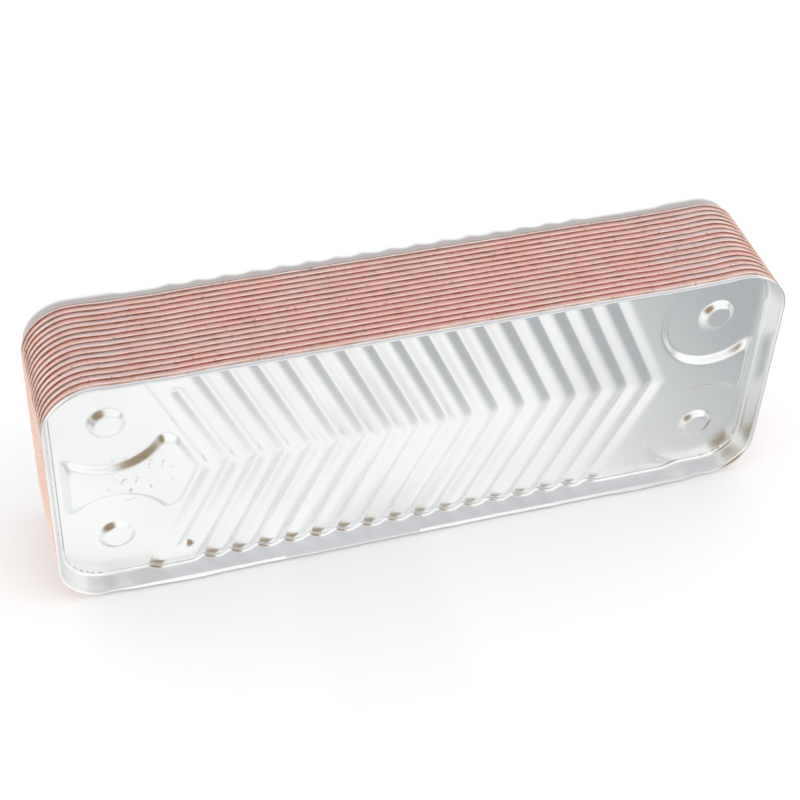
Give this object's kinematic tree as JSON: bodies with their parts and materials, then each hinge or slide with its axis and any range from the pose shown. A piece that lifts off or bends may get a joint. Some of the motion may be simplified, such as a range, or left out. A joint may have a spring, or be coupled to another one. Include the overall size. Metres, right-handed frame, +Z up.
{
  "type": "plate heat exchanger",
  "caption": "Brazed stack of nested pressed steel plates with a blank herringbone cover on one side and four flat water ports on the other.",
  "frame": {"origin": "middle of the underside of the box, the long narrow side that it stands on", "axes": "+X along the length of the plates, +Y through the stack towards the port side, +Z up across the width of the plates"},
  "size_m": [0.2074, 0.0432, 0.0773],
  "materials": {
    "cover_steel": "bright pressed stainless sheet, light grey with a faint warm tint in the folds",
    "plate_steel": "pressed stainless sheet, greyer, with a thin copper wash near the seams",
    "braze_copper": "brazing copper, salmon pink, satin, a little blotchy",
    "boss_steel": "plain turned steel"
  },
  "bodies": {
    "root": {"back_cover_plate": "cover_steel", "channel_plate_01": "plate_steel", "channel_plate_02": "plate_steel", "channel_plate_03": "plate_steel", "channel_plate_04": "plate_steel", "channel_plate_05": "plate_steel", "channel_plate_06": "plate_steel", "channel_plate_07": "plate_steel", "channel_plate_08": "plate_steel", "channel_plate_09": "plate_steel", "channel_plate_10": "plate_steel", "channel_plate_11": "plate_steel", "channel_plate_12": "plate_steel", "channel_plate_13": "plate_steel", "channel_plate_14": "plate_steel", "channel_plate_15": "plate_steel", "front_cover_plate": "cover_steel", "braze_seam_01": "braze_copper", "braze_seam_02": "braze_copper", "braze_seam_03": "braze_copper", "braze_seam_04": "braze_copper", "braze_seam_05": "braze_copper", "braze_seam_06": "braze_copper", "braze_seam_07": "braze_copper", "braze_seam_08": "braze_copper", "braze_seam_09": "braze_copper", "braze_seam_10": "braze_copper", "braze_seam_11": "braze_copper", "braze_seam_12": "braze_copper", "braze_seam_13": "braze_copper", "braze_seam_14": "braze_copper", "braze_seam_15": "braze_copper", "braze_seam_16": "braze_copper", "port_seal_ring_left": "plate_steel", "port_seal_ring_right": "plate_steel", "mounting_boss_left": "boss_steel", "mounting_boss_right": "boss_steel"}
  },
  "joints": []
}
